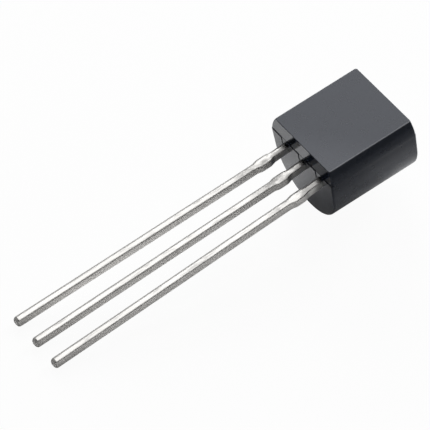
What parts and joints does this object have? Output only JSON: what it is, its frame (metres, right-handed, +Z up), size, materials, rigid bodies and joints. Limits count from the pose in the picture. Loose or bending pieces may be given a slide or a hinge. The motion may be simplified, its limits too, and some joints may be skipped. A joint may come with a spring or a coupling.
{
  "type": "voltage regulator",
  "caption": "Small voltage regulator in a moulded black D-section case with a flat face and straight tinned leads, lying with the flat face up.",
  "frame": {"origin": "centre of the part's footprint, on the surface that it lies on", "axes": "+Y runs from the lead tips to the case, +Z up out of the surface, +X across the leads from the output to the input"},
  "size_m": [0.0046, 0.019, 0.0045],
  "materials": {
    "moulding_compound": "satin, glossier on the lead end",
    "tinned_lead": "satin tin plating",
    "die_attach": "silver-filled epoxy",
    "silicon": "polished, with a fine pattern",
    "bond_wire": "drawn gold"
  },
  "bodies": {
    "root": {"case": "moulding_compound", "output_lead": "tinned_lead", "ground_lead": "tinned_lead", "input_lead": "tinned_lead", "die_attach": "die_attach", "regulator_chip": "silicon", "output_bond_wire": "bond_wire", "ground_bond_wire": "bond_wire", "input_bond_wire": "bond_wire"}
  },
  "joints": []
}
